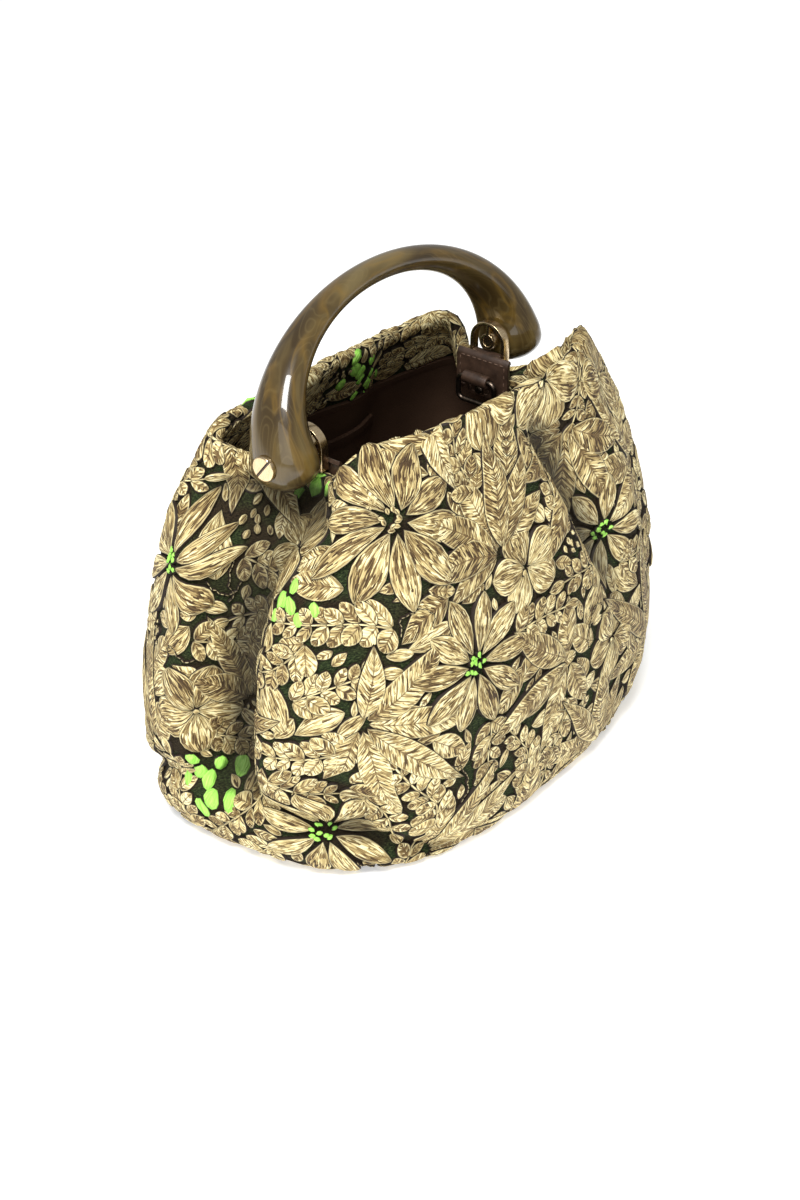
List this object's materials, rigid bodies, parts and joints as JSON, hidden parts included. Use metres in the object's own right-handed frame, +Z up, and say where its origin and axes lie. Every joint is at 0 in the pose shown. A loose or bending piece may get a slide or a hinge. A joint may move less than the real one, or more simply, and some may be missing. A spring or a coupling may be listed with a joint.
{
  "type": "gathered top-handle pouch bag",
  "caption": "Small gathered pouch of raised floral brocade with a rigid marbled resin arch handle, gold D-rings, leather tabs and small strap rings",
  "frame": {"origin": "on the flat underside, midway between its left and right ends and near its middle front to back", "axes": "+X to the bag's right end along its length, +Y to the back, +Z up"},
  "size_m": [0.2381, 0.1562, 0.2238],
  "materials": {
    "brocade": "padded raised brocade, tone on tone, matte with a slight sheen",
    "lining_cloth": "plain dark brown twill",
    "resin": "polished marbled resin",
    "gold": "polished pale gold plating",
    "leather": "smooth dark brown",
    "antique_metal": "dark antique plating"
  },
  "bodies": {
    "bag": {"front_panel": "brocade", "back_panel": "brocade", "lining": "lining_cloth", "slip_pocket": "lining_cloth", "handle_screw_left": "gold", "handle_ring_left": "gold", "handle_tab_left": "leather", "strap_tab_left": "leather", "strap_rivet_left": "antique_metal", "handle_screw_right": "gold", "handle_ring_right": "gold", "handle_tab_right": "leather", "strap_tab_right": "leather", "strap_rivet_right": "antique_metal"},
    "handle": {"handle": "resin"},
    "strap_ring_left": {"strap_ring_left": "antique_metal"},
    "strap_ring_right": {"strap_ring_right": "antique_metal"}
  },
  "joints": [
    {"name": "handle_swing", "type": "hinge", "parent": "bag", "child": "handle", "pos_m": [0, 0.004, 0.17], "axis": [1, 0, 0], "range_deg": [-42, 72]},
    {"name": "strap_ring_left_swing", "type": "hinge", "parent": "bag", "child": "strap_ring_left", "pos_m": [-0.05164, 0.004, 0.155], "axis": [0, -1, 0], "range_deg": [-5, 120]},
    {"name": "strap_ring_right_swing", "type": "hinge", "parent": "bag", "child": "strap_ring_right", "pos_m": [0.05164, 0.004, 0.155], "axis": [0, 1, 0], "range_deg": [-5, 120]}
  ]
}
